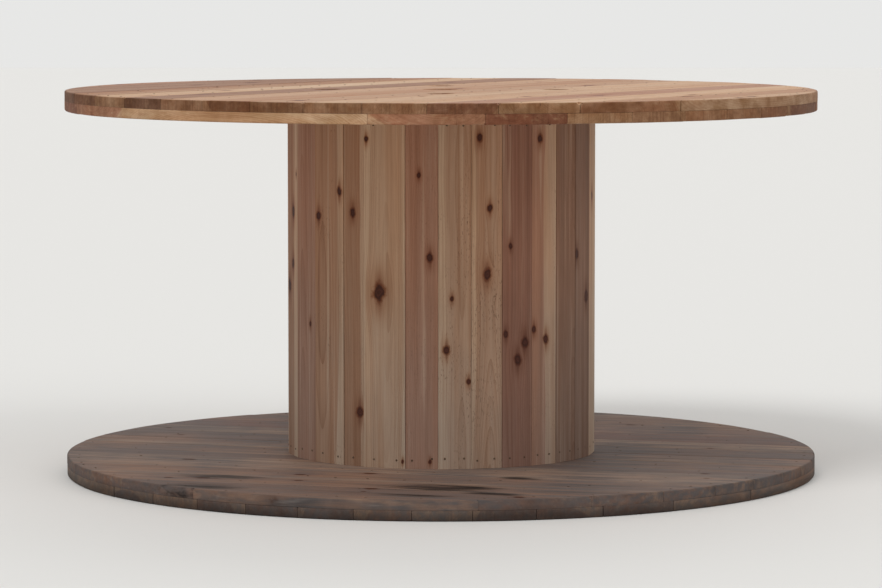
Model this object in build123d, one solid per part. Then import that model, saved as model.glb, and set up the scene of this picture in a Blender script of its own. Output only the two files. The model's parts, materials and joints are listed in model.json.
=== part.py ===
from build123d import *
from math import atan, radians, sqrt, tan
import os

# A large wooden cable drum, standing on one flange, in millimetres.
# Z is the drum's own axis. The origin is the centre of the face that it stands on.
# Each flange is two layers of boards that cross at a right angle, turned to a round.
# The barrel is a ring of flat staves with bevelled edges, nailed at each end to the rim
# of a core disc, which is a round of thick boards on the flange's inner face.
# Long bolts inside the barrel pull the two flanges together. Their heads, nuts and washers
# sit in round windows of the outer layers, below the faces that drums are stacked on.

# Flanges
flange_diameter = 2100.0
board_thickness = 28.0
board_width = 148.0
board_gap = 2.0
narrowest_board = 30.0
rim_chamfer = 4.0
bottom_flange_turn = -16.5
top_flange_turn = 32.0

# Barrel
clear_width = 960.0
core_diameter = 800.0
core_thickness = 50.0
stave_thickness = 28.0
stave_count = 28
stave_widths = [103.0, 113.0, 67.0, 120.0, 90.0, 90.0, 88.0, 92.0, 90.0, 90.0, 98.0, 107.0, 98.0, 105.0]
stave_gap = 1.0
stave_arris = 1.5
stave_fit = 0.3
first_stave_angle = -156.7

# Spindle hole and tie bolts
spindle_hole_diameter = 100.0
bolt_count = 4
bolt_diameter = 16.0
bolt_circle_diameter = 640.0
bolt_hole_clearance = 1.0
thread_clearance = 0.1
bolt_past_nut = 2.0
hexagon_across_flats = 24.0
head_height = 10.0
nut_height = 13.0
washer_side = 50.0
washer_thickness = 5.0
window_clearance = 3.0

# What follows from them
flange_radius = flange_diameter / 2
flange_thickness = 2 * board_thickness
overall_width = clear_width + 2 * flange_thickness
core_radius = core_diameter / 2
stave_inner = core_radius + stave_fit
stave_outer = stave_inner + stave_thickness
spindle_hole_radius = spindle_hole_diameter / 2
bolt_radius = bolt_diameter / 2
bolt_hole_radius = bolt_radius + bolt_hole_clearance
bolt_circle_radius = bolt_circle_diameter / 2
window_radius = washer_side / sqrt(2) + window_clearance
washer_low = board_thickness - washer_thickness
nut_low = washer_low - nut_height


def drum(radius, low, high):
    """An upright cylinder between two heights."""
    return Pos(0, 0, (low + high) / 2) * Cylinder(radius, high - low)


def bolt_places():
    """The tie bolts' places, evenly round the axis."""
    return PolarLocations(bolt_circle_radius, bolt_count)


def board_spans(reach):
    """The low and high side of each board of a layer, from the middle board outwards."""
    spans = [(-board_width / 2, board_width / 2)]
    low = board_width / 2 + board_gap
    while low < reach:
        high = low + board_width
        if reach - high - board_gap < narrowest_board:
            high = reach + board_gap
        spans += [(low, high), (-high, -low)]
        low = high + board_gap
    return spans


def saw_into_boards(blank, reach, low, high, turn):
    """Parts a round blank into boards that run along X, turned about the axis."""
    boards = []
    for near, far in sorted(board_spans(reach)):
        strip = Pos(0, (near + far) / 2, (low + high) / 2) * Box(4 * reach, far - near, high - low)
        boards += (blank & Rot(0, 0, turn) * strip).solids()
    return Compound(boards)


def outer_layer(turn):
    """The layer that the drum stands or is stacked on, from height 0, with its windows."""
    high = board_thickness
    blank = drum(flange_radius, 0, high)
    blank = chamfer(blank.faces().sort_by(Axis.Z)[0].edges(), rim_chamfer)
    blank -= drum(spindle_hole_radius, 0, high)
    for place in bolt_places():
        blank -= place * drum(window_radius, 0, high)
    return saw_into_boards(blank, flange_radius, 0, high, turn + 90)


def inner_layer(turn):
    """The layer that faces the barrel, its boards across those of the outer layer."""
    low, high = board_thickness, flange_thickness
    blank = drum(flange_radius, low, high)
    blank = chamfer(blank.faces().sort_by(Axis.Z)[-1].edges(), rim_chamfer)
    blank -= drum(spindle_hole_radius, low, high)
    for place in bolt_places():
        blank -= place * drum(bolt_hole_radius, low, high)
    return saw_into_boards(blank, flange_radius, low, high, turn)


def core_disc(turn):
    """The round of thick boards that carries the staves' ends, across the inner layer."""
    low, high = flange_thickness, flange_thickness + core_thickness
    blank = drum(core_radius, low, high) - drum(spindle_hole_radius, low, high)
    for place in bolt_places():
        blank -= place * drum(bolt_hole_radius, low, high)
    return saw_into_boards(blank, core_radius, low, high, turn + 90)


def washers():
    """One square washer in each window, flat on the inner layer."""
    square = Rectangle(washer_side, washer_side) - Circle(bolt_hole_radius)
    washer = Pos(0, 0, washer_low) * extrude(square, washer_thickness)
    return Compound([place * washer for place in bolt_places()])


def nuts():
    """One hexagonal nut on each washer, drawn as at the bottom."""
    hexagon = RegularPolygon(hexagon_across_flats / 2, 6, major_radius=False)
    section = hexagon - Circle(bolt_radius + thread_clearance)
    nut = Pos(0, 0, nut_low) * extrude(section, nut_height)
    return Compound([place * nut for place in bolt_places()])


def bolt():
    """One tie bolt on the drum's axis, its head below the bottom washer."""
    hexagon = RegularPolygon(hexagon_across_flats / 2, 6, major_radius=False)
    head = Pos(0, 0, washer_low - head_height) * extrude(hexagon, head_height)
    shank_end = overall_width - nut_low + bolt_past_nut
    return head + drum(bolt_radius, washer_low, shank_end)


def stave_angles():
    """The angle that each stave takes up. The widths are laid in turn until the ring closes."""
    laid = [stave_widths[number % len(stave_widths)] for number in range(stave_count)]
    angles = [atan(width / 2 / stave_outer) for width in laid]
    return [360 * angle / sum(angles) for angle in angles]


def stave(angle):
    """One stave, square to +X: a flat board whose edges are bevelled to the drum's axis."""
    half_slope = tan(radians(angle / 2))
    inner_half = stave_inner * half_slope - stave_gap / 2
    outer_half = stave_outer * half_slope - stave_gap / 2
    shoulder = stave_outer - stave_arris
    shoulder_half = shoulder * half_slope - stave_gap / 2
    outline = Polyline(
        (stave_inner, -inner_half),
        (shoulder, -shoulder_half),
        (stave_outer, -outer_half + stave_arris),
        (stave_outer, outer_half - stave_arris),
        (shoulder, shoulder_half),
        (stave_inner, inner_half),
        close=True,
    )
    return Pos(0, 0, flange_thickness) * extrude(make_face(outline), clear_width)


def turned_over(shape):
    """The same piece at the drum's other end."""
    return Pos(0, 0, overall_width) * Rot(180, 0, 0) * shape


# The pieces, each under the name of its file
pieces = {
    "bottom_flange_outer_boards": outer_layer(bottom_flange_turn),
    "bottom_flange_inner_boards": inner_layer(bottom_flange_turn),
    "bottom_core_disc": core_disc(bottom_flange_turn),
    "bottom_washers": washers(),
    "top_flange_outer_boards": turned_over(outer_layer(top_flange_turn)),
    "top_flange_inner_boards": turned_over(inner_layer(top_flange_turn)),
    "top_core_disc": turned_over(core_disc(top_flange_turn)),
    "top_washers": turned_over(washers()),
    "top_nuts": turned_over(nuts()),
}

for number, place in enumerate(bolt_places(), start=1):
    pieces[f"tie_bolt_{number}"] = place * bolt()

side = first_stave_angle
for number, angle in enumerate(stave_angles(), start=1):
    pieces[f"stave_{number:02d}"] = Rot(0, 0, side + angle / 2) * stave(angle)
    side += angle

os.makedirs("parts", exist_ok=True)
for name, piece in pieces.items():
    export_step(piece, f"parts/{name}.step")
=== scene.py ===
import bpy
import bmesh
import json
import random
from math import atan2, cos, hypot, pi, radians, sin, sqrt, tan
from mathutils import Matrix, Vector

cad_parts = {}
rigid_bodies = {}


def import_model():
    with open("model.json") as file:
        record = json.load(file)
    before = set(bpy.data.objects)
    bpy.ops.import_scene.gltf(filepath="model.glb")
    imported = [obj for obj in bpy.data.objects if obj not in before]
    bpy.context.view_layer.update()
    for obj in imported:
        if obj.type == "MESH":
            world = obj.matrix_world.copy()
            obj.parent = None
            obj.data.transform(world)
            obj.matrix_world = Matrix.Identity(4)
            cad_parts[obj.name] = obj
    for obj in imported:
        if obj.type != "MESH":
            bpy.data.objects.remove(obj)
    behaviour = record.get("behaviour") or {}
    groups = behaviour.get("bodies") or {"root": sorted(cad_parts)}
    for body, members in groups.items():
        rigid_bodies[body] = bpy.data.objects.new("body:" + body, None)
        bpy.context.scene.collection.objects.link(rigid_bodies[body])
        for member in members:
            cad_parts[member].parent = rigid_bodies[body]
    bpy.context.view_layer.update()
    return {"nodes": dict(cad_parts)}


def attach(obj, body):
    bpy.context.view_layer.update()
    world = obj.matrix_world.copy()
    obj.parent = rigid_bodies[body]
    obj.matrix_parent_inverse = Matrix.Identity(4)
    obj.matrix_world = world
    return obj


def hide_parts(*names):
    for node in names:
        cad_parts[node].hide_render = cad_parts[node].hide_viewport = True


# A wooden cable drum: crossed flange boards, a barrel of bevelled staves, nails and tie bolts.
# Lengths are metres. The drum's axis is Z and its front faces -Y.

for leftover in list(bpy.data.objects):
    bpy.data.objects.remove(leftover)
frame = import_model()
cadNodes = frame["nodes"]
print("frame loaded,", len(cadNodes), "CAD nodes")


# Small helpers for node trees

def ink(red, green, blue):
    # display values 0-255 to the linear colour that a socket takes
    values = [value / 255 for value in (red, green, blue)]
    return (*[v / 12.92 if v <= 0.04045 else ((v + 0.055) / 1.055) ** 2.4 for v in values], 1)


def startMaterial(name):
    material = bpy.data.materials.new(name)
    material.use_nodes = True
    tree = material.node_tree
    tree.nodes.clear()
    return material, tree


def plug(tree, socket, value):
    if isinstance(value, bpy.types.NodeSocket):
        tree.links.new(value, socket)
    else:
        socket.default_value = value


def reckon(tree, operation, *values):
    node = tree.nodes.new("ShaderNodeMath")
    node.operation = operation
    for socket, value in zip(node.inputs, values):
        plug(tree, socket, value)
    return node.outputs[0]


def times(tree, first, second):
    return reckon(tree, "MULTIPLY", first, second)


def timesPlus(tree, first, second, more):
    return reckon(tree, "MULTIPLY_ADD", first, second, more)


def minus(tree, first, second):
    return reckon(tree, "SUBTRACT", first, second)


def reckonVector(tree, operation, *values):
    node = tree.nodes.new("ShaderNodeVectorMath")
    node.operation = operation
    for socket, value in zip(node.inputs, values):
        plug(tree, socket, value)
    return node.outputs[1 if operation in ("LENGTH", "DOT_PRODUCT") else 0]


def spread(tree, x, y):
    # how far x and y are from zero together
    return reckon(tree, "SQRT", reckon(tree, "ADD", times(tree, x, x), times(tree, y, y)))


def fade(tree, value, start, end, fromValue=0.0, toValue=1.0):
    # a soft step, held at both ends
    node = tree.nodes.new("ShaderNodeMapRange")
    node.interpolation_type = "SMOOTHSTEP"
    for socket, given in zip(node.inputs, (value, start, end, fromValue, toValue)):
        plug(tree, socket, given)
    return node.outputs[0]


def noise(tree, vector, scale=1.0, detail=2.0, roughness=0.5):
    node = tree.nodes.new("ShaderNodeTexNoise")
    plug(tree, node.inputs["Vector"], vector)
    node.inputs["Scale"].default_value = scale
    node.inputs["Detail"].default_value = detail
    node.inputs["Roughness"].default_value = roughness
    return node.outputs["Fac"]


def mixed(tree, factor, first, second, blend="MIX"):
    node = tree.nodes.new("ShaderNodeMix")
    node.data_type = "RGBA"
    node.blend_type = blend
    plug(tree, node.inputs[0], factor)
    plug(tree, node.inputs[6], first)
    plug(tree, node.inputs[7], second)
    return node.outputs[2]


def darkened(tree, factor, colour, leaves):
    # leaves is the share of red, green and blue that stays
    return mixed(tree, factor, colour, leaves, "MULTIPLY")


def attribute(tree, name, output="Vector"):
    node = tree.nodes.new("ShaderNodeAttribute")
    node.attribute_name = name
    return node.outputs[output]


def apart(tree, vector):
    node = tree.nodes.new("ShaderNodeSeparateXYZ")
    plug(tree, node.inputs[0], vector)
    return node.outputs[0], node.outputs[1], node.outputs[2]


def together(tree, x, y, z):
    node = tree.nodes.new("ShaderNodeCombineXYZ")
    for socket, value in zip(node.inputs, (x, y, z)):
        plug(tree, socket, value)
    return node.outputs[0]


def objectPlace(tree, output="Object"):
    return tree.nodes.new("ShaderNodeTexCoord").outputs[output]


def finishMaterial(tree, colour, roughness, height, fixed, bump):
    # fixed values are set on the shader's own sockets
    shader = tree.nodes.new("ShaderNodeBsdfPrincipled")
    plug(tree, shader.inputs["Base Color"], colour)
    plug(tree, shader.inputs["Roughness"], roughness)
    for name, value in fixed.items():
        shader.inputs[name].default_value = value
    if height is not None:
        node = tree.nodes.new("ShaderNodeBump")
        node.inputs["Strength"].default_value = bump["strength"]
        node.inputs["Distance"].default_value = bump["distance"]
        plug(tree, node.inputs["Height"], height)
        plug(tree, shader.inputs["Normal"], node.outputs[0])
    out = tree.nodes.new("ShaderNodeOutputMaterial")
    plug(tree, out.inputs["Surface"], shader.outputs[0])


# Wood

woodTones = {
    "cream": ink(206, 171, 139),
    "pale": ink(199, 163, 132),
    "sand": ink(190, 153, 124),
    "tan": ink(176, 133, 102),
    "rosy": ink(177, 132, 107),
    "rust": ink(153, 106, 85),
    "brown": ink(148, 111, 89),
    "umber": ink(140, 104, 83),
}

woodLook = {
    "sap": ink(212, 182, 152),       # outside the heart, at the board's edge
    "sapShare": 0.65,
    "sapEdge": (-0.0015, 0.003),
    "late": (0.64, 0.49, 0.38, 1),   # what the dark part of a ring leaves of the colour
    "lateShare": 0.7,
    "lateSharpness": 2.4,
    "uneven": 2.2,                   # rings differ in width
    "wander": 0.022,                 # how far the grain wanders across the board
    "wobble": 0.004,
    "drift": 0.07,                   # and how far the pith comes nearer and goes
    "warm": (1.0, 0.89, 0.80, 1),    # broad bands of warmer wood
    "streak": (0.70, 0.59, 0.50, 1),
    "fibre": (0.72, 0.66, 0.60, 1),
    "speckle": (0.44, 0.37, 0.32, 1),
    "endGrain": (0.70, 0.62, 0.55, 1),
    "sawn": (0.60, 0.50, 0.42, 1),
    "roughness": (0.58, 0.80),
    "shine": 0.22,
    "bump": {"strength": 0.5, "distance": 0.0007},
    "seedSteps": (37.0, 61.0, 23.0),  # how far apart two boards are cut from the same patterns
    # How often each pattern repeats along, across and into the board, then its detail and roughness
    "patterns": {
        "rough": (130, 160, 160, 3, 0.5),
        "lump": (38, 60, 60, 1, 0.5),
        "wave": (1.3, 3, 3, 2, 0.5),
        "wobble": (6, 22, 22, 1, 0.5),
        "drift": (0.9, 0, 0, 1, 0.5),
        "warm": (0.9, 24, 24, 2, 0.5),
        "broad": (0.8, 90, 90, 1, 0.5),
        "streak": (1.5, 55, 55, 3, 0.6),
        "fibre": (16, 800, 800, 2, 0.5),
        "cluster": (3.2, 13, 13, 2, 0.5),
        "pock": (95, 380, 380, 1, 0.5),
        "sawn": (0, 230, 9, 2, 0.5),
    },
    # Each pattern's start, end and strongest share, and the colour that it lays on
    "bands": [
        ("warm", 0.40, 0.66, 0.80, "warm", "MULTIPLY"),
        ("broad", 0.45, 0.72, 0.45, "streak", "MULTIPLY"),
        ("broad", 0.42, 0.24, 0.35, "sap", "MIX"),
        ("streak", 0.42, 0.78, 0.55, "streak", "MULTIPLY"),
        ("streak", 0.44, 0.22, 0.40, "sap", "MIX"),
        ("fibre", 0.35, 0.75, 0.35, "fibre", "MULTIPLY"),
    ],
}

knotLook = {
    "most": 4,                       # on one board
    "none": (9.0, 9.0, 0.01),        # a knot that isn't on the board
    "heart": ink(74, 37, 25),
    "rim": ink(46, 23, 15),
    "share": 0.92,
    "edge": (0.50, 0.28, 0.18, 1),
    "tail": (0.56, 0.36, 0.25, 1),
    "halo": (0.74, 0.56, 0.43, 1),
    "push": 0.72,                    # how far the grain gives way
    "pullFades": (-0.05, -0.28),     # how soon that ends along and across the board
    "tailFades": (-0.10, -2.2),
    "flatness": 0.60,                # below 1 a knot is longer than wide
    "lumpy": 0.9,
    "ragged": 0.5,
    "rings": 17.0,
}


def bell(tree, farSquare, wideSquare, fades):
    # 1 in the middle and less with the distance
    power = timesPlus(tree, farSquare, fades[0], times(tree, wideSquare, fades[1]))
    return reckon(tree, "EXPONENT", power)


def woodMaterial(name, weather=None):
    # Each board carries its own attributes: its place in the tree, tone, pith and knots.
    look, finish = woodLook, weather or {}
    material, tree = startMaterial(name)
    place = attribute(tree, "boardPlace")
    along, across, deep = apart(tree, place)
    seed, speckle, ringGap = apart(tree, attribute(tree, "boardSort"))
    pithAcross, pithDeep, heart = apart(tree, attribute(tree, "boardPith"))
    tone = attribute(tree, "boardTone", "Color")
    shift = together(tree, *[times(tree, seed, step) for step in look["seedSteps"]])

    def pattern(sort):
        *repeats, detail, roughness = look["patterns"][sort]
        return noise(tree, reckonVector(tree, "MULTIPLY_ADD", place, repeats, shift), 1.0, detail, roughness)

    def waver(sort):
        # the same about zero
        return minus(tree, pattern(sort), 0.5)

    def ringPattern(value, repeats, seedStep, detail):
        spot = together(tree, times(tree, value, repeats), times(tree, seed, seedStep), 0.0)
        return noise(tree, spot, detail=detail)

    # Knots push the grain aside
    ragged = times(tree, waver("rough"), knotLook["ragged"])
    ragged = timesPlus(tree, waver("lump"), knotLook["lumpy"], ragged)
    push, nearest, halo, tail = 0.0, 9.0, 0.0, 0.0
    for number in range(1, knotLook["most"] + 1):
        knotAlong, knotAcross, size = apart(tree, attribute(tree, f"knot{number}"))
        aside = minus(tree, across, knotAcross)
        far = reckon(tree, "DIVIDE", minus(tree, along, knotAlong), size)
        wide = reckon(tree, "DIVIDE", aside, size)
        farSquare = times(tree, far, far)
        wideSquare = times(tree, wide, wide)
        pull = bell(tree, farSquare, wideSquare, knotLook["pullFades"])
        push = timesPlus(tree, times(tree, pull, aside), knotLook["push"], push)
        halo = reckon(tree, "MAXIMUM", halo, pull)
        tail = reckon(tree, "MAXIMUM", tail, bell(tree, farSquare, wideSquare, knotLook["tailFades"]))
        distance = timesPlus(tree, farSquare, knotLook["flatness"], wideSquare)
        distance = reckon(tree, "ADD", ragged, reckon(tree, "SQRT", distance))
        nearest = reckon(tree, "MINIMUM", nearest, distance)

    # Rings about a pith that lies beside or behind the board
    bent = timesPlus(tree, waver("wave"), look["wander"], minus(tree, across, push))
    bent = timesPlus(tree, waver("wobble"), look["wobble"], bent)
    aside = minus(tree, bent, pithAcross)
    behind = minus(tree, deep, pithDeep)
    behind = timesPlus(tree, waver("drift"), look["drift"], behind)
    radius = spread(tree, aside, behind)
    ring = reckon(tree, "DIVIDE", radius, ringGap)
    ring = timesPlus(tree, ringPattern(radius, 60.0, 91.0, 2), look["uneven"], ring)
    late = reckon(tree, "POWER", reckon(tree, "FRACT", ring), look["lateSharpness"])
    strength = fade(tree, ringPattern(ring, 0.33, 47.0, 1), 0.3, 0.7, 0.25, 1.0)
    late = times(tree, late, strength)

    # Colour, from the inside of the tree outwards
    sapwood = mixed(tree, look["sapShare"], tone, look["sap"])
    wood = mixed(tree, fade(tree, minus(tree, radius, heart), *look["sapEdge"]), tone, sapwood)
    wood = darkened(tree, times(tree, late, look["lateShare"]), wood, look["late"])
    grain = {sort: pattern(sort) for sort in ("warm", "broad", "streak", "fibre")}
    for sort, start, end, share, colour, blend in look["bands"]:
        wood = mixed(tree, fade(tree, grain[sort], start, end, 0.0, share), wood, look[colour], blend)

    # fine pocks come in clusters
    pocks = times(tree, fade(tree, pattern("pock"), 0.60, 0.71), fade(tree, pattern("cluster"), 0.43, 0.60))
    pocks = times(tree, pocks, speckle)
    wood = darkened(tree, pocks, wood, look["speckle"])
    wood = darkened(tree, fade(tree, halo, 0.1, 0.9, 0.0, 0.7), wood, knotLook["halo"])
    wood = darkened(tree, fade(tree, tail, 0.1, 0.9, 0.0, 0.8), wood, knotLook["tail"])

    # End grain shows where the surface faces along the board
    facing = reckonVector(tree, "DOT_PRODUCT", objectPlace(tree, "Normal"), attribute(tree, "boardRun"))
    endGrain = fade(tree, reckon(tree, "ABSOLUTE", facing), 0.3, 0.9)
    sawn = pattern("sawn")
    wood = darkened(tree, endGrain, wood, look["endGrain"])
    marks = times(tree, fade(tree, sawn, 0.45, 0.7, 0.0, 0.6), endGrain)
    wood = darkened(tree, marks, wood, look["sawn"])

    if weather:
        wood = weathered(tree, wood, weather)

    # Knots: a soft reddish edge about a darker heart
    knotRings = reckon(tree, "SINE", times(tree, nearest, knotLook["rings"]))
    knot = mixed(tree, fade(tree, knotRings, -0.4, 1.0, 0.0, 0.55), knotLook["heart"], knotLook["rim"])
    knot = mixed(tree, fade(tree, nearest, 0.40, 0.70), knot, knotLook["rim"])
    wood = darkened(tree, fade(tree, nearest, 1.40, 0.75, 0.0, 0.9), wood, knotLook["edge"])
    inKnot = fade(tree, nearest, 0.92, 0.55)
    share = times(tree, inKnot, finish.get("knotShare", knotLook["share"]))
    wood = mixed(tree, share, wood, knot)

    roughness = fade(tree, grain["fibre"], 0.2, 0.8, *look["roughness"])
    height = times(tree, grain["fibre"], 0.5)
    sawnEnds = times(tree, endGrain, sawn)
    for relief, rise in [(late, 0.25), (grain["streak"], 0.5), (pocks, -0.5), (inKnot, -0.35), (sawnEnds, 2.2)]:
        height = timesPlus(tree, relief, rise, height)
    fixed = {"Specular IOR Level": finish.get("shine", look["shine"])}
    finishMaterial(tree, wood, roughness, height, fixed, look["bump"])
    return material


# Where weather and painted shade reach, by height or by distance from the drum's axis
weatherReach = {
    # painted shade on the staves, darker and bluer towards the ground
    "lowShade": (0.80, 0.05),            # heights at which it starts and is full
    "rim": (1.0435, 1.0475),
    # grime and painted contact shade at the foot: its height, and the radii where it starts and is full
    "grimeAndShadeHeight": 0.025,
    "grimeAndShade": (0.86, 1.03),
    "stain": (1.2, 0.2),             # as shares of a stain's own size
    "stainRagged": 2.6,
}


def weathered(tree, wood, weather):
    # painted shade lower down, dust in patches that follow the boards (with painted shade on the bottom flange), darker
    # sawn rims, grime and painted shade near the ground, and dark stains
    spot = objectPlace(tree)
    x, y, z = apart(tree, spot)
    place = attribute(tree, "boardPlace")
    reach = spread(tree, x, y)

    def boardNoise(along, across, detail, roughness=0.5):
        stretched = reckonVector(tree, "MULTIPLY", place, (along, across, across))
        return noise(tree, stretched, detail=detail, roughness=roughness)

    patches = noise(tree, spot, scale=3.2, detail=5, roughness=0.6)
    # painted shade: darker and bluer towards the ground
    if "lowShade" in weather:
        uneven = timesPlus(tree, minus(tree, patches, 0.5), 0.5, z)
        wood = darkened(tree, fade(tree, uneven, *weatherReach["lowShade"]), wood, weather["lowShade"])
    # dust in patches, and on the bottom flange also painted shade
    if "dustAndShade" in weather:
        share = fade(tree, patches, 0.30, 0.68, weather["grey"] * 0.7, weather["grey"])
        share = times(tree, share, fade(tree, boardNoise(2.5, 60.0, 3), 0.3, 0.7, 0.65, 0.98))
        wood = mixed(tree, share, wood, weather["dustAndShade"])
    if "scuff" in weather:
        wood = darkened(tree, fade(tree, boardNoise(2.4, 19.0, 4), 0.48, 0.72, 0.0, 0.6), wood, weather["smear"])
        wood = mixed(tree, fade(tree, boardNoise(1.7, 75.0, 2), 0.60, 0.76, 0.0, 0.5), wood, weather["scuff"])
    if "rim" in weather:
        mottle = noise(tree, spot, scale=13, detail=5, roughness=0.65)
        atRim = fade(tree, reach, *weatherReach["rim"])
        atRim = times(tree, atRim, fade(tree, mottle, 0.30, 0.66, 0.45, 1.0))
        wood = darkened(tree, atRim, wood, weather["rim"])
    if "grimeAndShadeTo" in weather:
        # grime and painted contact shade at the flange's foot; it creeps in under the flange from its edge
        splashAndShade = minus(tree, z, weatherReach["grimeAndShadeHeight"])
        splashAndShade = timesPlus(tree, patches, 0.05, splashAndShade)
        splashAndShade = fade(tree, splashAndShade, weather["grimeAndShadeTo"], 0.0, 0.0, 0.85)
        splashAndShade = times(tree, splashAndShade, fade(tree, reach, *weatherReach["grimeAndShade"], 0.35, 1.0))
        wood = darkened(tree, splashAndShade, wood, weather["grimeAndShade"])
    for stainX, stainY, length, width in weather.get("stains", []):
        turn = radians(weather["turn"])
        fromX, fromY = minus(tree, x, stainX), minus(tree, y, stainY)
        along = times(tree, fromY, sin(turn) / length)
        along = timesPlus(tree, fromX, cos(turn) / length, along)
        aside = times(tree, fromY, cos(turn) / width)
        aside = timesPlus(tree, fromX, -sin(turn) / width, aside)
        ragged = minus(tree, boardNoise(6.0, 60.0, 5, 0.6), 0.5)
        distance = timesPlus(tree, ragged, weatherReach["stainRagged"], spread(tree, along, aside))
        wood = mixed(tree, fade(tree, distance, *weatherReach["stain"], 0.0, 0.88), wood, weather["stain"])
    return wood


# What a board picked from the pile may be like
boardPile = {
    "shade": (0.94, 1.06),
    "pithAcross": (0.0, 0.11),
    "pithDeep": (0.03, 0.10),
    "heart": (0.0, 0.75, 0.85, 0.95, 1.4, 1.4),  # its edge, as a share of the way to the board's far side
    "ringGap": (0.0032, 0.0062),
    "speckle": (0.0, 0.0, 0.25, 0.5),
    "knots": (0, 1, 1, 2, 2, 3),
    "knotSizes": (0.006, 0.008, 0.010, 0.012, 0.015),
    "knotsAlong": 0.93,              # how near they come to the board's ends
    "knotsAcross": 0.8,
}
boardVectors = ["boardPlace", "boardPith", "boardSort", "boardRun"]
boardVectors += [f"knot{number}" for number in range(1, knotLook["most"] + 1)]


def makeRoomForBoards(bm):
    for name in boardVectors:
        bm.verts.layers.float_vector.new(name)
    bm.verts.layers.float_color.new("boardTone")


def tellBoard(bm, verts, board, placeOf):
    # writes what the wood material reads onto the board's points
    point = bm.verts.layers
    places = point.float_vector["boardPlace"]
    knots = (board["knots"] + [knotLook["none"]] * knotLook["most"])[:knotLook["most"]]
    for vert in verts:
        vert[places] = placeOf(vert.co)
        vert[point.float_color["boardTone"]] = board["tone"]
        vert[point.float_vector["boardPith"]] = board["pith"]
        vert[point.float_vector["boardSort"]] = board["sort"]
        vert[point.float_vector["boardRun"]] = board["run"]
        for number, knot in enumerate(knots, start=1):
            vert[point.float_vector[f"knot{number}"]] = knot


def pickBoard(rng, toneName, halfLength, halfWidth, run, knots=None, **given):
    # given values win over random ones
    shade = rng.uniform(*boardPile["shade"])
    tone = tuple(min(1, value * shade) for value in woodTones[toneName][:3]) + (1,)
    pithAcross = given.get("across", rng.choice((-1, 1)) * rng.uniform(*boardPile["pithAcross"]))
    pithDeep = given.get("deep", rng.choice((-1, 1)) * rng.uniform(*boardPile["pithDeep"]))
    farthest = hypot(abs(pithAcross) + halfWidth, pithDeep)
    heart = given.get("heart", farthest * rng.choice(boardPile["heart"]))
    ringGap = rng.uniform(*boardPile["ringGap"])
    speckle = given.get("speckle", rng.choice(boardPile["speckle"]))
    if knots is None:
        knots = []
        for _ in range(rng.choice(boardPile["knots"])):
            size = rng.choice(boardPile["knotSizes"])
            along = rng.uniform(-boardPile["knotsAlong"], boardPile["knotsAlong"]) * halfLength
            knots.append((along, rng.uniform(-boardPile["knotsAcross"], boardPile["knotsAcross"]) * halfWidth, size))
    pith, sort = (pithAcross, pithDeep, heart), (rng.random(), speckle, ringGap)
    return {"tone": tone, "pith": pith, "sort": sort, "run": run, "knots": knots}


# Small helpers for meshes

def addPiece(name, bm, material, slot, *standsFor):
    # a piece stands for the CAD nodes named last
    for face in bm.faces:
        face.smooth = True
    for edge in bm.edges:
        edge.smooth = edge.calc_face_angle(0) < radians(24)
    mesh = bpy.data.meshes.new(name)
    bm.to_mesh(mesh)
    bm.free()
    mesh.materials.append(material)
    piece = bpy.data.objects.new(name, mesh)
    bpy.context.scene.collection.objects.link(piece)
    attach(piece, "root")
    if standsFor:
        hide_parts(*standsFor)


def split(bm, place, normal):
    everything = bm.verts[:] + bm.edges[:] + bm.faces[:]
    bmesh.ops.bisect_plane(bm, geom=everything, dist=1e-6, plane_co=place, plane_no=normal)


def turnAboutAxis(bm, turn):
    bmesh.ops.rotate(bm, verts=bm.verts, cent=(0, 0, 0), matrix=Matrix.Rotation(turn, 3, "Z"))


def bevelEdges(bm, edges, width, segments):
    bmesh.ops.bevel(
        bm, geom=edges, offset=width, offset_type="OFFSET", segments=segments, profile=0.5, affect="EDGES", material=-1)


def lathe(bm, profile, steps, place=(0, 0, 0)):
    # profile is radius and height from bottom to top, and starts and ends on the axis
    verts = [bm.verts.new((radius, 0, height)) for radius, height in profile]
    edges = [bm.edges.new(pair) for pair in zip(verts, verts[1:])]
    before = set(bm.verts) - set(verts)
    bmesh.ops.spin(
        bm, geom=verts + edges, cent=(0, 0, 0), axis=(0, 0, 1), angle=2 * pi, steps=steps, use_merge=True)
    made = [vert for vert in bm.verts if vert not in before]
    bmesh.ops.remove_doubles(bm, verts=made, dist=1e-6)
    made = [vert for vert in bm.verts if vert not in before]
    faces = list({face for vert in made for face in vert.link_faces})
    bmesh.ops.recalc_face_normals(bm, faces=faces)
    bmesh.ops.translate(bm, verts=made, vec=place)


def carve(bm, tool, operation="DIFFERENCE"):
    # a boolean works on objects, so both meshes become one for a moment
    things = []
    for part in (bm, tool):
        mesh = bpy.data.meshes.new("carving")
        part.to_mesh(mesh)
        part.free()
        thing = bpy.data.objects.new("carving", mesh)
        bpy.context.scene.collection.objects.link(thing)
        things.append(thing)
    cut = things[0].modifiers.new("cut", "BOOLEAN")
    cut.operation = operation
    cut.solver = "EXACT"
    cut.object = things[1]
    graph = bpy.context.evaluated_depsgraph_get()
    carved = bpy.data.meshes.new_from_object(things[0].evaluated_get(graph))
    result = bmesh.new()
    result.from_mesh(carved)
    # the cut leaves pairs of points in one place
    bmesh.ops.dissolve_degenerate(result, dist=1e-6, edges=result.edges)
    for thing in things:
        bpy.data.objects.remove(thing)
    bpy.data.meshes.remove(carved)
    return result


# Flanges and core discs

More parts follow.
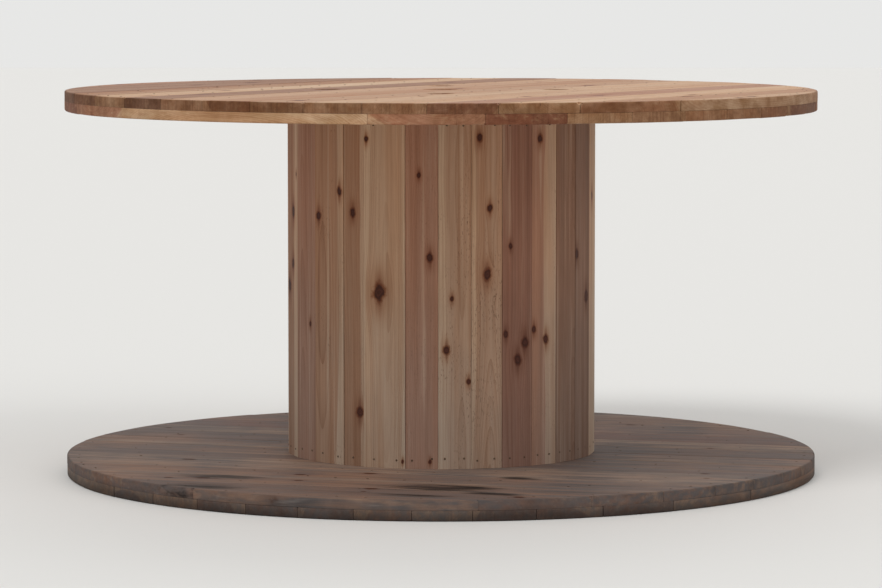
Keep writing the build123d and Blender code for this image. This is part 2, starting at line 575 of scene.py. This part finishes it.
flange = {
    "facets": 240,
    "pitch": 0.150,          # one board and one gap
    "gap": 0.0014,           # the wood has swollen into its joints
    "arris": 0.004,          # on the rim's exposed edge
    "longArris": 0.0015,
    "acrossCuts": (-0.3, 0.0, 0.3),  # where each board may bend, as shares of its pitch
    "alongCuts": 6,          # and on each side of the middle
    "sink": 0.0007,          # boards differ this much in thickness
    "slack": 0.0004,
    "lean": 0.0004,
    "cup": 0.0004,
    "shrink": 0.0012,        # and at the rim
    "spindle": (0.050, 0.002, 48),   # radius, arris and steps round
    "window": (0.03836, 0.001, 40),
    "boltHole": (0.009, 0, 20),
    "boltCircle": 0.320,
    "chips": 14,
    "chipSize": (0.003, 0.007),
    "checks": 18,            # drying cracks that run in from the boards' ends
    "checkLength": (0.025, 0.140),
    "checkWidth": (0.0007, 0.0016),
    "checkDepth": (0.004, 0.012),
    "pile": ("pale", "sand", "sand", "tan", "tan", "rosy", "brown"),
}

# Heights of the layers' faces, and how far each flange's inner boards are turned from X
heights = {
    "ground": 0.0, "lowJoin": 0.028, "lowFace": 0.056, "lowCore": 0.106,
    "highCore": 0.966, "highFace": 1.016, "highJoin": 1.044, "top": 1.072,
}
lowTurn, highTurn = -16.5, -32

flangeRound = {"radius": 1.05, "joints": 7, "slot": "flange_boards"}
coreRound = {"radius": 0.40, "joints": 2, "slot": "core_boards", "open": None, "windows": False, "wood": "clean"}

# Open is the face in view. The tones of the boards in view are listed, and 0 is the middle board.
layers = {
    "bottomOuterBoards": {
        **flangeRound, "node": "bottom_flange_outer_boards", "low": "ground", "high": "lowJoin", "open": "ground",
        "turn": lowTurn + 90, "windows": True, "seed": 11, "wood": "underside", "pile": ("brown", "tan", "umber")},
    "bottomInnerBoards": {
        **flangeRound, "node": "bottom_flange_inner_boards", "low": "lowJoin", "high": "lowFace", "open": "lowFace",
        "turn": lowTurn, "windows": False, "seed": 12, "wood": "troddenShaded",
        "tones": {-7: "tan", -6: "brown", -5: "tan", -3: "rust", 1: "brown", 2: "rosy", 3: "rust", 4: "rosy"},
        "pile": ("tan", "brown", "tan", "umber"), "notches": [(-5.5, 1, 0.010), (-6.5, -1, 0.008)]},
    "bottomCoreDisc": {
        **coreRound, "node": "bottom_core_disc", "low": "lowFace", "high": "lowCore", "turn": lowTurn + 90, "seed": 13},
    "topOuterBoards": {
        **flangeRound, "node": "top_flange_outer_boards", "low": "highJoin", "high": "top", "open": "top",
        "turn": highTurn + 90, "windows": True, "seed": 14, "wood": "topside",
        "tones": {
            -7: "sand", -6: "tan", -5: "cream", -4: "rosy", -3: "pale",
            -2: "tan", -1: "sand", 0: "tan", 1: "sand", 2: "brown"},
        "notches": [(-5.5, -1, 0.009), (-4.5, -1, 0.007)]},
    "topInnerBoards": {
        **flangeRound, "node": "top_flange_inner_boards", "low": "highFace", "high": "highJoin", "open": "highFace",
        "turn": highTurn, "windows": False, "seed": 15, "wood": "beneath",
        "tones": {-7: "cream", -6: "rosy", -5: "rust", -4: "tan", -3: "sand", -2: "sand", -1: "sand", 0: "tan"}},
    "topCoreDisc": {
        **coreRound, "node": "top_core_disc", "low": "highCore", "high": "highFace", "turn": highTurn + 90, "seed": 16},
}


def boltPlaces():
    return [Vector((cos(turn), sin(turn), 0)) * flange["boltCircle"] for turn in (0, pi / 2, pi, 3 * pi / 2)]


def openHeight(layer):
    return heights[layer["open"]] if layer["open"] else None


def halfChord(layer, across):
    # how far the rim is along a board, at this distance from the middle
    return sqrt(layer["radius"] ** 2 - across ** 2)


def drill(tool, layer, hole, place):
    # only the holes in an outer layer's open face have an arris
    low, high = heights[layer["low"]] - 0.001, heights[layer["high"]] + 0.001
    face = openHeight(layer)
    radius, arris, steps = hole
    if not layer["windows"]:
        profile = [(0, low), (radius, low), (radius, high), (0, high)]
    elif layer["open"] == layer["high"]:
        wide, top = radius + 2 * arris, face + arris
        profile = [(0, low), (radius, low), (radius, face - arris), (wide, top), (0, top)]
    else:
        wide, bottom = radius + 2 * arris, face - arris
        profile = [(0, bottom), (wide, bottom), (radius, face + arris), (radius, high), (0, high)]
    lathe(tool, profile, steps, place)


def holeCutter(layer, turn):
    # the spindle hole, the bolts' holes or windows, and chips and cracks along the rim
    tool = bmesh.new()
    drill(tool, layer, flange["spindle"], (0, 0, 0))
    back = Matrix.Rotation(-turn, 3, "Z")
    for place in boltPlaces():
        drill(tool, layer, flange["window" if layer["windows"] else "boltHole"], back @ place)
    if layer["open"]:
        rng, joints = random.Random(layer["seed"] + 100), layer["joints"]
        notches = layer.get("notches", [])
        corners = [(number + 0.5, side) for number in range(-joints, joints) for side in (-1, 1)]
        corners = [corner for corner in corners if corner not in [notch[:2] for notch in notches]]
        chips = [(*corner, rng.uniform(*flange["chipSize"])) for corner in rng.sample(corners, flange["chips"])]
        for number, side, size in notches + chips:
            joint = number * flange["pitch"]
            place = Vector((side * halfChord(layer, joint), joint, openHeight(layer)))
            squash = Matrix.LocRotScale(place, None, Vector((1, rng.uniform(0.7, 1.8), rng.uniform(0.5, 1.2))))
            bmesh.ops.create_icosphere(tool, subdivisions=1, radius=size, matrix=squash)
        ends = [(number, side) for number in range(-joints + 1, joints) for side in (-1, 1)]
        for number, side in rng.sample(ends, flange["checks"]):
            cutCheck(tool, layer, (number + rng.uniform(-0.36, 0.36)) * flange["pitch"], side, rng)
    return tool


def cutCheck(tool, layer, across, side, rng):
    # a wedge that is widest and deepest at the board's end
    length, width, depth = (rng.uniform(*flange[name]) for name in ("checkLength", "checkWidth", "checkDepth"))
    end = halfChord(layer, across)
    inward = -1 if layer["open"] == layer["high"] else 1
    turned = rng.uniform(-0.03, 0.03)
    for vert in bmesh.ops.create_cube(tool, size=2)["verts"]:
        tip, bottom = vert.co.x < 0, vert.co.z > 0
        along = -length if tip else 0.02
        vert.co.y = across + vert.co.y * width / 2 * (0.15 if tip else 1) + along * turned
        vert.co.x = side * (end + along)
        vert.co.z = openHeight(layer) + inward * (depth * (0.2 if tip else 1) if bottom else -0.002)


def sawBlank(layer, turn):
    # a round blank with an arris on its open face, sawn into boards with a gap at each joint
    radius, low, high = layer["radius"], heights[layer["low"]], heights[layer["high"]]
    pitch, gap, joints = flange["pitch"], flange["gap"], layer["joints"]
    bm = bmesh.new()
    bmesh.ops.create_cone(
        bm, cap_ends=True, segments=flange["facets"], radius1=radius, radius2=radius, depth=high - low)
    bmesh.ops.translate(bm, verts=bm.verts, vec=(0, 0, (low + high) / 2))
    if layer["open"]:
        face = openHeight(layer)
        rim = [edge for edge in bm.edges if all(abs(vert.co.z - face) < 1e-5 for vert in edge.verts)]
        bevelEdges(bm, rim, flange["arris"], 3)
    cuts = [(number + 0.5) * pitch for number in range(-joints, joints)]
    for cut in cuts:
        split(bm, (0, cut - gap / 2, 0), (0, 1, 0))
        split(bm, (0, cut + gap / 2, 0), (0, 1, 0))
    waste = [
        strip for strip in bm.faces
        if any(abs(strip.calc_center_median().y - cut) < gap / 2 - 1e-5 for cut in cuts)]
    bmesh.ops.delete(bm, geom=waste, context="FACES")
    bmesh.ops.holes_fill(bm, edges=[edge for edge in bm.edges if edge.is_boundary], sides=0)
    bmesh.ops.recalc_face_normals(bm, faces=bm.faces)
    longEdges = []
    for edge in bm.edges:
        start, end = (vert.co for vert in edge.verts)
        if edge.calc_face_angle(0) > 1.3 and abs(start.y - end.y) < 1e-5 and abs(start.z - end.z) < 1e-5:
            longEdges.append(edge)
    bevelEdges(bm, longEdges, flange["longArris"], 2)

    # More points, so that the boards can bend
    for number in range(-joints, joints + 1):
        for share in flange["acrossCuts"]:
            if abs(number * pitch + share * pitch) < radius - 0.01:
                split(bm, (0, (number + share) * pitch, 0), (0, 1, 0))
    for step in range(-flange["alongCuts"], flange["alongCuts"] + 1):
        split(bm, (step * radius / (flange["alongCuts"] + 0.5), 0, 0), (1, 0, 0))
    return carve(bm, holeCutter(layer, turn))


def bendBoard(verts, layer, middle, rng):
    # each open face has its own height, lean and cup, and each end its own length
    radius, face = layer["radius"], openHeight(layer)
    sink, lean = rng.uniform(0, flange["sink"]), rng.uniform(-1, 1) * flange["lean"]
    cup = rng.uniform(-1, 1) * flange["cup"]
    shrink, slack = rng.uniform(0, flange["shrink"]), rng.uniform(0, flange["slack"])
    if face is None:
        return
    inward = -1 if layer["open"] == layer["high"] else 1
    for vert in verts:
        side = (vert.co.y - middle) / (flange["pitch"] / 2)
        if abs(vert.co.z - face) < 0.006:
            vert.co.z += inward * max(0.0, sink + lean * side + cup * (1 - side * side))
        elif abs(vert.co.z - face) > 0.020:
            vert.co.z -= inward * slack
        reach = hypot(vert.co.x, vert.co.y)
        if reach > radius - 0.006:
            vert.co.x *= 1 - shrink / reach
            vert.co.y *= 1 - shrink / reach


def makeLayer(name, layer):
    turn, rng = radians(layer["turn"]), random.Random(layer["seed"])
    pitch, joints = flange["pitch"], layer["joints"]
    bm = sawBlank(layer, turn)
    makeRoomForBoards(bm)
    boards = {}
    for vert in bm.verts:
        number = max(-joints, min(joints, round(vert.co.y / pitch)))
        boards.setdefault(number, []).append(vert)
    run = (cos(turn), sin(turn), 0.0)
    base = heights[layer["open"] or layer["low"]]
    for number, verts in sorted(boards.items()):
        toneName = layer.get("tones", {}).get(number) or rng.choice(layer.get("pile", flange["pile"]))
        middle = number * pitch
        halfLength = sqrt(max(0.05, layer["radius"] ** 2 - middle ** 2))
        board = pickBoard(rng, toneName, halfLength, pitch / 2, run)
        tellBoard(bm, verts, board, lambda at: (at.x, at.y - middle, at.z - base))
        bendBoard(verts, layer, middle, rng)
    turnAboutAxis(bm, turn)
    addPiece(name, bm, woods[layer["wood"]], layer["slot"], layer["node"])


# the bottom flange's rims: darker sawn rims, then grime and painted contact shade towards the ground
dirtyShadedRim = {"rim": (0.70, 0.705, 0.72, 1), "grimeAndShadeTo": 0.045, "grimeAndShade": (0.27, 0.265, 0.265, 1)}
woods = {
    "clean": woodMaterial("cleanBoards"),
    "beneath": woodMaterial("boardsBeneath", {"rim": (0.64, 0.57, 0.47, 1)}),
    "topside": woodMaterial("topBoards", {
        "grey": 0.22, "dustAndShade": ink(150, 132, 116), "rim": (0.44, 0.34, 0.245, 1), "shine": 0.14}),
    # the boards on the ground: dust and painted shade make them dark grey
    "underside": woodMaterial("groundBoards", {**dirtyShadedRim, "grey": 0.95, "dustAndShade": ink(100, 94, 91), "shine": 0.1}),
    # the bottom flange's open face: dust and painted shade from the drum above make it darker and greyer than the top
    # flange; its stains, smears and scuffs are its own
    "troddenShaded": woodMaterial("troddenShadedBoards", {
        **dirtyShadedRim, "grey": 1.12, "dustAndShade": ink(97, 89, 86), "smear": (0.66, 0.65, 0.645, 1), "scuff": ink(124, 116, 111),
        "knotShare": 0.5, "shine": 0.06, "turn": lowTurn, "stain": ink(34, 29, 27),
        # x, y, length and width of each
        "stains": [
            (-0.585, -0.585, 0.135, 0.050), (-0.630, -0.780, 0.125, 0.050), (0.000, -0.815, 0.160, 0.075),
            (0.075, -0.805, 0.080, 0.040), (0.205, -0.610, 0.060, 0.030), (0.130, -0.930, 0.090, 0.030),
            (-0.060, -0.960, 0.110, 0.025)]}),
}
for name, layer in layers.items():
    makeLayer(name, layer)
    print("sawn", name)


# Barrel

# What shows on each stave of the front: tone, pith across and deep, heart radius (mm), speckle
frontStaves = {
    1: ("rosy", -20, -60, 150, 0.2),
    2: ("tan", -30, -60, 84, 0.8),
    3: ("tan", -60, 40, 90, 0.3),
    4: ("pale", 5, -34, 54, 0.2),
    5: ("rosy", -70, -40, 140, 0.3),
    6: ("sand", 20, -60, 70, 0.75),
    7: ("sand", 12, 48, 60, 0.8),
    8: ("rust", -50, 60, 160, 0.2),
    9: ("rosy", -85, -20, 88, 0.4),
    10: ("brown", 40, -60, 150, 0.3),
    11: ("umber", -60, 50, 150, 0.2),
}

# The tones of the other staves go by their CAD material
slotTones = {
    "stave_pale": ("cream", "pale", "sand"),
    "stave_tan": ("tan", "sand"),
    "stave_pink": ("rosy", "rust"),
    "stave_brown": ("brown", "umber"),
}

# Knots in view: degrees from the front, height and size (mm)
frontKnots = [
    (-57, 435, 13), (-51, 735, 19), (-40, 805, 20), (-34, 750, 21), (-31, 205, 23), (-28, 950, 13), (-23, 535, 40),
    (-8, 855, 12), (-4, 630, 21), (2, 380, 19), (4, 520, 12), (10, 295, 13), (14, 955, 19), (18, 765, 16),
    (17, 585, 27), (26, 660, 13), (24, 420, 15), (32, 395, 24), (29, 350, 24), (36, 430, 16), (39, 950, 19),
    (42, 400, 20), (60, 625, 22), (69, 505, 26), (-14, 75, 9), (-4, 75, 10),
]

barrel = {
    "count": 28,
    "outer": 0.4283,
    "face": 0.004,           # points no deeper than this belong to the outer face
    "cuts": 12,
    "acrossCuts": (-0.7, -0.35, 0, 0.35, 0.7),
    "lean": 0.006,           # each stave is turned a little about its length
    "out": (-0.0001, 0.0009),
    "bow": 0.0006,
    "cup": 0.0005,
    "ragged": 0.0004,
    "arris": 0.0006,
    "closer": 0.0004,        # staves swell into their joints
    "knots": (0, 1, 1, 2, 2, 3, 4),
    "knotHeights": (0.09, 0.98),
    "knotsAcross": 0.85,
    "knotSizes": (0.005, 0.007, 0.009, 0.011, 0.014),
}


def splitStave(node):
    # a merged copy of the CAD stave, turned to face X, with a finer arris and points for its bends
    bm = bmesh.new()
    bm.from_mesh(node.data)
    makeRoomForBoards(bm)
    bmesh.ops.remove_doubles(bm, verts=bm.verts, dist=1e-5)
    bmesh.ops.dissolve_limit(bm, angle_limit=radians(1), verts=bm.verts, edges=bm.edges)
    middle = sum((vert.co for vert in bm.verts), Vector()) / len(bm.verts)
    turn = atan2(middle.y, middle.x)
    turnAboutAxis(bm, -turn)
    low, high = min(vert.co.z for vert in bm.verts), max(vert.co.z for vert in bm.verts)
    half = max(vert.co.y for vert in bm.verts)
    for vert in bm.verts:
        way = 1 if vert.co.y > 0 else -1
        if vert.co.x > barrel["outer"] - 0.0005:
            vert.co.y = way * (half - barrel["arris"])
        elif vert.co.x > barrel["outer"] - barrel["face"]:
            vert.co.x = barrel["outer"] - barrel["arris"]
        vert.co.y += way * barrel["closer"]
    for step in range(1, barrel["cuts"]):
        split(bm, (0, 0, low + (high - low) * step / barrel["cuts"]), (0, 0, 1))
    for share in barrel["acrossCuts"]:
        split(bm, (0, share * half, 0), (0, 1, 0))
    return bm, turn, low, high, half


def knotsInView(turn, half):
    # degrees from the front grow towards the right of the view, as the turn does
    facing = (turn + pi / 2 + pi) % (2 * pi) - pi
    knots = []
    for angle, height, size in frontKnots:
        aside = tan(radians(angle) - facing) * barrel["outer"]
        if abs(radians(angle) - facing) < 1 and abs(aside) <= half:
            knots.append((height / 1000, aside, size / 2000))
    return knots


def makeStave(number, wood):
    rng = random.Random(200 + number)
    node = cadNodes[f"stave_{number:02d}"]
    slot = node.data.materials[0].name
    bm, turn, low, high, half = splitStave(node)
    run = (0.0, 0.0, 1.0)
    if number in frontStaves:
        toneName, across, deep, heart, speckle = frontStaves[number]
        given = {"across": across / 1000, "deep": deep / 1000, "heart": heart / 1000, "speckle": speckle}
        board = pickBoard(rng, toneName, 0.0, half, run, knotsInView(turn, half), **given)
    else:
        toneName = rng.choice(slotTones[slot])
        board = pickBoard(rng, toneName, 0.0, half, run)
        board["knots"] = []
        for _ in range(rng.choice(barrel["knots"])):
            height = rng.uniform(*barrel["knotHeights"])
            aside = rng.uniform(-barrel["knotsAcross"], barrel["knotsAcross"]) * half
            board["knots"].append((height, aside, rng.choice(barrel["knotSizes"])))
    tellBoard(bm, bm.verts[:], board, lambda at: (at.z, at.y, at.x - barrel["outer"]))

    lean, out = rng.uniform(-1, 1) * barrel["lean"], rng.uniform(*barrel["out"])
    bow, cup = rng.uniform(-0.3, 1) * barrel["bow"], rng.uniform(-1, 1) * barrel["cup"]
    for vert in bm.verts:
        rise = (vert.co.z - low) / (high - low)
        side = vert.co.y / half
        if vert.co.x > barrel["outer"] - barrel["face"]:
            vert.co.x += out + lean * vert.co.y + bow * 4 * rise * (1 - rise) + cup * (1 - side * side)
            if abs(side) > 0.93 and 0 < rise < 1:
                vert.co.y += rng.uniform(-1, 0.2) * barrel["ragged"] * (1 if side > 0 else -1)
    turnAboutAxis(bm, turn)
    addPiece(f"stave{number:02d}", bm, wood, slot, node.name)
    return turn, half


# the staves get painted shade, darker and bluer towards the ground
staveWood = woodMaterial("staves", {"grey": 0.16, "dustAndShade": ink(140, 125, 112), "lowShade": (0.63, 0.72, 0.84, 1)})
staves = [makeStave(number, staveWood) for number in range(1, barrel["count"] + 1)]
print("barrel of", len(staves), "staves")


# Nails

nails = {
    "head": (0.0031, 0.0025, 10),    # radius below and on top, and its sides
    "headDepth": 0.0008,
    "staveEnds": (0.081, 0.991),
    "staveShare": 0.55,
    "proud": 0.0006,         # of the staves, which lean and bow
    "narrowStave": 0.036,    # half the width at which a stave gets two nails in a row
    # radius and count of each ring on the outer faces, and whether its points come through
    "rings": [
        (0.13, 8, False), (0.22, 12, False), (0.385, 26, False),
        (0.50, 36, True), (0.67, 46, True), (0.85, 60, True), (1.018, 84, True)],
    "jitter": 0.004,
    "fromJoint": 0.012,      # a nail that is nearer moves this much further
    "moved": 0.014,
    "point": (0.0011, 0.0005, 6),
    "pointLength": 0.007,
}


def steelMaterial(name, bright, dark, roughness):
    material, tree = startMaterial(name)
    spot = objectPlace(tree)
    flecks = noise(tree, spot, scale=700, detail=3)
    blotches = noise(tree, spot, scale=90, detail=2)
    colour = mixed(tree, fade(tree, blotches, 0.35, 0.7), bright, dark)
    colour = mixed(tree, fade(tree, flecks, 0.5, 0.8, 0, 0.4), colour, dark)
    dull = fade(tree, flecks, 0.2, 0.8, *roughness)
    finishMaterial(tree, colour, dull, flecks, {"Metallic": 0.9}, {"strength": 0.3, "distance": 0.0002})
    return material


def addNailEnd(bm, part, place, outward, depth):
    # a head, or a point that is bent over and lies flat
    below, top, sides = nails[part]
    turned = Vector(outward).to_track_quat("Z", "Y").to_matrix().to_4x4()
    bmesh.ops.create_cone(
        bm, cap_ends=True, segments=sides, radius1=below, radius2=top, depth=depth,
        matrix=Matrix.Translation(place) @ turned)


def driveStaveNails(material):
    rng = random.Random(5)
    bm = bmesh.new()
    for turn, half in staves:
        outward = Vector((cos(turn), sin(turn), 0))
        sideways = Vector((-sin(turn), cos(turn), 0))
        shares = (-nails["staveShare"], nails["staveShare"]) if half > nails["narrowStave"] else (0,)
        for height in nails["staveEnds"]:
            for share in shares:
                aside = share * half + rng.uniform(-1, 1) * nails["jitter"]
                up = height + rng.uniform(-1, 1) * nails["jitter"]
                place = outward * (barrel["outer"] + nails["proud"]) + sideways * aside + Vector((0, 0, up))
                addNailEnd(bm, "head", place, outward, nails["headDepth"] * 2)
    addPiece("staveNails", bm, material, "zinc_steel")


def clearOfJoint(place, layer):
    # a nail that would land in a joint moves onto the board beside it
    turn, pitch = radians(layer["turn"]), flange["pitch"]
    across = Vector((-sin(turn), cos(turn), 0))
    aside = place.dot(across)
    fromJoint = (aside / pitch + 0.5) % 1 * pitch
    if min(fromJoint, pitch - fromJoint) < nails["fromJoint"] and abs(aside) < 0.99:
        place = place + across * (nails["moved"] if fromJoint < pitch / 2 else -nails["moved"])
    return place


def driveFlangeNails(name, outer, inner, material, seed):
    # heads on the outer face, clinched points on the inner one
    rng = random.Random(seed)
    bm = bmesh.new()
    outerFace, innerFace = openHeight(outer), openHeight(inner)
    outward = 1 if outerFace > innerFace else -1
    for radius, count, through in nails["rings"]:
        for number in range(count):
            angle = 2 * pi * (number + rng.uniform(-0.1, 0.1)) / count + seed
            place = Vector((cos(angle), sin(angle), 0)) * (radius + rng.uniform(-1, 1) * nails["jitter"])
            place = clearOfJoint(clearOfJoint(place, outer), inner)
            head = place + Vector((0, 0, outerFace - outward * nails["headDepth"]))
            addNailEnd(bm, "head", head, (0, 0, outward), nails["headDepth"] * 2 - 0.0001)
            if through:
                tip, lie = place + Vector((0, 0, innerFace + outward * 0.0004)), rng.uniform(0, 2 * pi)
                addNailEnd(bm, "point", tip, (cos(lie), sin(lie), 0), nails["pointLength"])
    addPiece(name, bm, material, "zinc_steel")


nailSteel = steelMaterial("nailSteel", ink(112, 92, 76), ink(76, 60, 48), (0.5, 0.75))
driveStaveNails(nailSteel)
driveFlangeNails("bottomFlangeNails", layers["bottomOuterBoards"], layers["bottomInnerBoards"], nailSteel, 1)
driveFlangeNails("topFlangeNails", layers["topOuterBoards"], layers["topInnerBoards"], nailSteel, 2)
print("nails driven")


# Tie bolts, nuts and washers

bolts = {
    "shank": 0.008,
    "steps": 20,             # round the shank
    "flats": 0.024,
    "cornerTurn": (0.48, 0.0016, 48),  # the flat that stays, as a share of the flats, then drop and steps
    "head": (0.013, 0.023),  # heights
    "nut": (1.049, 1.062),
    "inHead": 0.002,         # how far the shank reaches into its head
    "end": 1.064,
    "threadFrom": 0.990,
    "threadPitch": 0.002,
    "threadDepth": 0.0011,
    "bore": (0.0081, 0.002, 32),  # radius, arris and steps of the nut's
    "nutTurn": 0.4,          # each nut stops at another angle
}


def hexagonBlock(low, high):
    # a hexagon whose corners are turned off at both ends
    corner = bolts["flats"] / sqrt(3)
    block = bmesh.new()
    bmesh.ops.create_cone(block, cap_ends=True, segments=6, radius1=corner, radius2=corner, depth=high - low)
    turnAboutAxis(block, pi / 6)
    bmesh.ops.translate(block, verts=block.verts, vec=(0, 0, (low + high) / 2))
    share, drop, steps = bolts["cornerTurn"]
    flat, wide = bolts["flats"] * share, corner * 1.02
    turned = bmesh.new()
    lathe(turned, [(0, low), (flat, low), (wide, low + drop), (wide, high - drop), (flat, high), (0, high)], steps)
    return carve(block, turned, "INTERSECT")


def makeBolt(number, place, material):
    radius, root = bolts["shank"], bolts["shank"] - bolts["threadDepth"]
    start, pitch = bolts["head"][1] - bolts["inHead"], bolts["threadPitch"]
    height = bolts["threadFrom"]
    profile = [(0, start), (radius, start), (radius, height)]
    while height < bolts["end"] - 2 * pitch:
        height += pitch
        profile += [(root, height - pitch / 2), (radius, height)]
    profile += [(root, bolts["end"]), (0, bolts["end"])]
    shank = bmesh.new()
    lathe(shank, profile, bolts["steps"])
    bm = carve(hexagonBlock(*bolts["head"]), shank, "UNION")
    bmesh.ops.translate(bm, verts=bm.verts, vec=place)
    addPiece(f"tieBolt{number}", bm, material, "zinc_steel", f"tie_bolt_{number}")


def makeNuts(material):
    low, high = bolts["nut"]
    radius, arris, steps = bolts["bore"]
    wide, under, over = radius + arris, low - arris / 2, high + arris / 2
    bore = [(0, under), (wide, under), (radius, low + arris / 2), (radius, high - arris / 2), (wide, over), (0, over)]
    bm = bmesh.new()
    for number, place in enumerate(boltPlaces()):
        drilled = bmesh.new()
        lathe(drilled, bore, steps)
        nut = carve(hexagonBlock(low, high), drilled)
        turnAboutAxis(nut, number * bolts["nutTurn"])
        bmesh.ops.translate(nut, verts=nut.verts, vec=place)
        mesh = bpy.data.meshes.new("nut")
        nut.to_mesh(mesh)
        nut.free()
        bm.from_mesh(mesh)
        bpy.data.meshes.remove(mesh)
    addPiece("topNuts", bm, material, "zinc_steel", "top_nuts")


zinc = steelMaterial("zincSteel", ink(176, 178, 180), ink(142, 144, 148), (0.28, 0.5))
for number, place in enumerate(boltPlaces(), start=1):
    makeBolt(number, place, zinc)
makeNuts(zinc)
for name in ("bottom_washers", "top_washers"):
    for holder in cadNodes[name].material_slots:
        holder.material = zinc
print("bolts tightened")


# Floor, light and camera

studio = {
    "floor": ink(222, 221, 218),
    "floorHalf": 40,
    "floorBelow": 0.0004,
    "backdrop": (0.80, 0.80, 0.79, 1),
    "world": 0.62,
    # strength, azimuth and height, softness
    "suns": [(1.15, (-35, 48), 24), (0.55, (50, 35), 40), (0.45, (170, 40), 40)],
    "camera": (0.0, -11.32, 1.453),
    "aim": (0.0, 0.0, 0.497),
    "lens": 165,
    "sensor": 36,
    "seesTo": 200,
}


def layFloor():
    bm = bmesh.new()
    bmesh.ops.create_grid(bm, x_segments=1, y_segments=1, size=studio["floorHalf"])
    bmesh.ops.translate(bm, verts=bm.verts, vec=(0, 0, -studio["floorBelow"]))
    mesh = bpy.data.meshes.new("floor")
    bm.to_mesh(mesh)
    bm.free()
    material, tree = startMaterial("floorPaint")
    grain = noise(tree, objectPlace(tree), scale=40, detail=3)
    dull = fade(tree, grain, 0.2, 0.8, 0.8, 0.95)
    finishMaterial(tree, studio["floor"], dull, None, {"Specular IOR Level": 0.1}, None)
    mesh.materials.append(material)
    floor = bpy.data.objects.new("floor", mesh)
    bpy.context.scene.collection.objects.link(floor)


def setLight():
    world = bpy.data.worlds.new("studio")
    bpy.context.scene.world = world
    world.use_nodes = True
    tree = world.node_tree
    tree.nodes.clear()
    rays = tree.nodes.new("ShaderNodeLightPath").outputs
    shown = reckon(tree, "MAXIMUM", rays["Is Glossy Ray"], rays["Is Transmission Ray"])
    shown = reckon(tree, "MAXIMUM", rays["Is Camera Ray"], shown)
    level = studio["world"]
    background = tree.nodes.new("ShaderNodeBackground")
    plug(tree, background.inputs["Color"], mixed(tree, shown, (level, level, level, 1), studio["backdrop"]))
    out = tree.nodes.new("ShaderNodeOutputWorld")
    plug(tree, out.inputs["Surface"], background.outputs[0])
    for number, (strength, (azimuth, height), softness) in enumerate(studio["suns"], start=1):
        lamp = bpy.data.lights.new(f"softLamp{number}", "SUN")
        lamp.energy = strength
        lamp.angle = radians(softness)
        holder = bpy.data.objects.new(f"softLamp{number}", lamp)
        azimuth, height = radians(azimuth), radians(height)
        come = Vector((sin(azimuth) * cos(height), -cos(azimuth) * cos(height), sin(height)))
        holder.rotation_euler = come.to_track_quat("Z", "Y").to_euler()
        bpy.context.scene.collection.objects.link(holder)


def setCamera():
    lens = bpy.data.cameras.new("camera")
    lens.lens = studio["lens"]
    lens.sensor_width = studio["sensor"]
    lens.clip_end = studio["seesTo"]
    camera = bpy.data.objects.new("camera", lens)
    camera.location = studio["camera"]
    look = Vector(studio["aim"]) - Vector(studio["camera"])
    camera.rotation_euler = look.to_track_quat("-Z", "Y").to_euler()
    bpy.context.scene.collection.objects.link(camera)
    bpy.context.scene.camera = camera


layFloor()
setLight()
setCamera()
bpy.context.scene.view_settings.view_transform = "Standard"
print("studio set")
